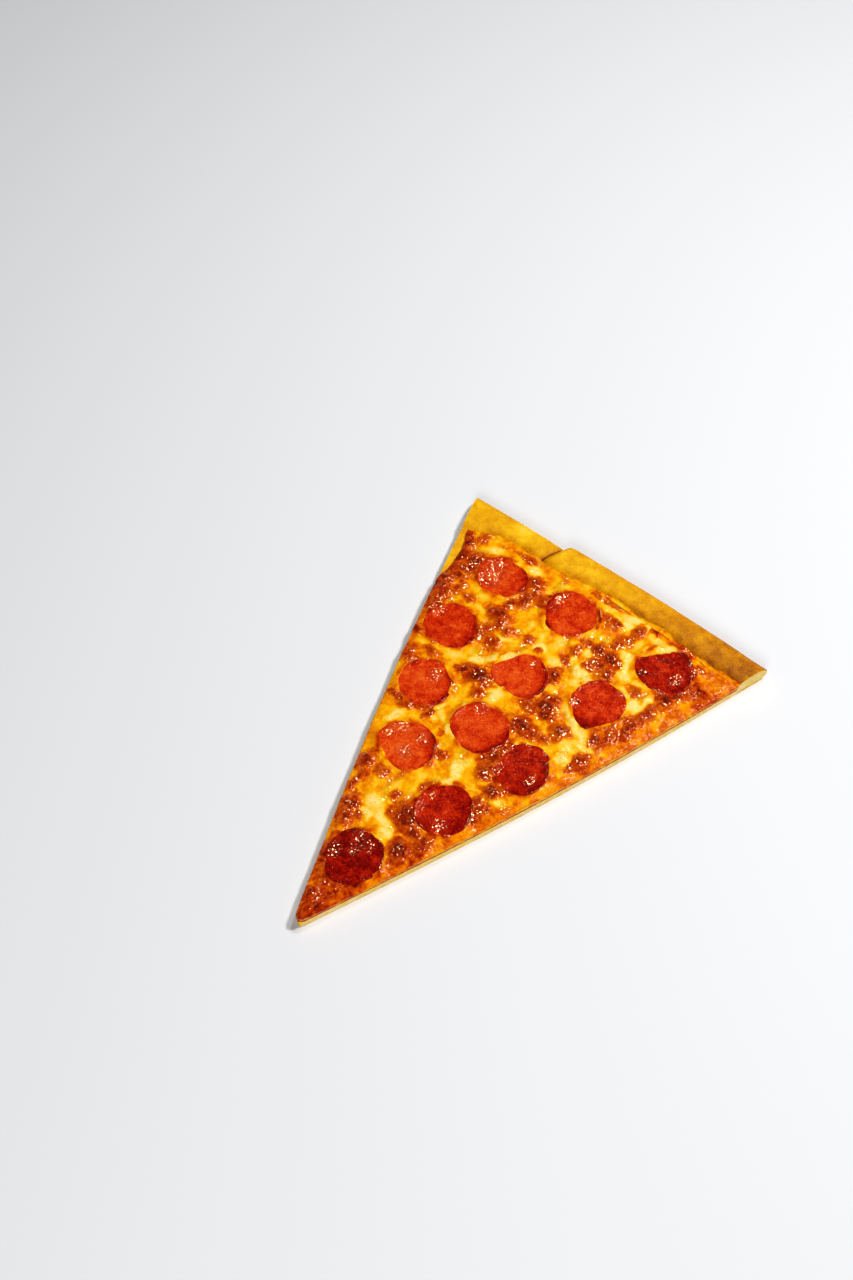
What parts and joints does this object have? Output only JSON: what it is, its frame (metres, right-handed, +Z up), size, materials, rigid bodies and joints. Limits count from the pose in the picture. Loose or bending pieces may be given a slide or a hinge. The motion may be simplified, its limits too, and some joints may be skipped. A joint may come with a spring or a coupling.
{
  "type": "pepperoni pizza slice",
  "caption": "Large wedge of pepperoni pizza lying flat, with a folded dough rim, tomato sauce, blistered melted cheese and round pepperoni slices.",
  "frame": {"origin": "on the surface that the slice lies on, under the middle of its bounding box", "axes": "+Y from the tip to the crust, +Z up, +X to the right as seen from the tip"},
  "size_m": [0.2395, 0.33, 0.014],
  "materials": {
    "crust": "smooth golden baked dough, a little glossy with oil",
    "sauce": "moist cooked tomato",
    "cheese": "oily melted cheese with baked brown blisters",
    "pepperoni": "oily cured sausage, finely mottled"
  },
  "bodies": {
    "root": {"dough": "crust", "tomato_sauce": "sauce", "cheese": "cheese", "pepperoni_01": "pepperoni", "pepperoni_02": "pepperoni", "pepperoni_03": "pepperoni", "pepperoni_04": "pepperoni", "pepperoni_05": "pepperoni", "pepperoni_06": "pepperoni", "pepperoni_07": "pepperoni", "pepperoni_08": "pepperoni", "pepperoni_09": "pepperoni", "pepperoni_10": "pepperoni", "pepperoni_11": "pepperoni", "pepperoni_12": "pepperoni"}
  },
  "joints": []
}
